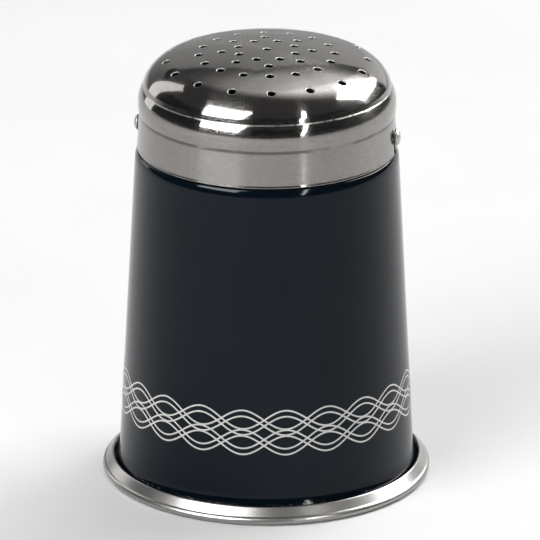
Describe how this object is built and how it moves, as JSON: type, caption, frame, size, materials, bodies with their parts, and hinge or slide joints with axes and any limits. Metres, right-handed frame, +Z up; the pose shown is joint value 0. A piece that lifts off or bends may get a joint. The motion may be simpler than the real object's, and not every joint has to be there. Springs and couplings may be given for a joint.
{
  "type": "sugar shaker",
  "caption": "Tapered painted steel sugar shaker with a rolled steel base, a bare neck with bayonet lugs and a domed, perforated steel lid that lifts off.",
  "frame": {"origin": "middle of the foot ring, on the surface that the shaker stands on", "axes": "+Z up along the shaker's axis, -Y towards the viewer of the picture, +X to the viewer's right"},
  "size_m": [0.08, 0.08, 0.1075],
  "materials": {
    "lid_steel": "finely brushed around the axis",
    "base_steel": "satin",
    "lug_steel": "satin",
    "navy_paint": "satin dark navy enamel with a pale printed wave band"
  },
  "bodies": {
    "shaker": {"body_shell": "navy_paint", "base_pan": "base_steel", "neck_collar": "base_steel", "bayonet_lug_right": "lug_steel", "bayonet_lug_left": "lug_steel"},
    "lid": {"perforated_lid": "lid_steel"}
  },
  "joints": [
    {"name": "lid_lift", "type": "slide", "parent": "shaker", "child": "lid", "axis": [0, 0, 1], "range_m": [0, 0.03]}
  ]
}
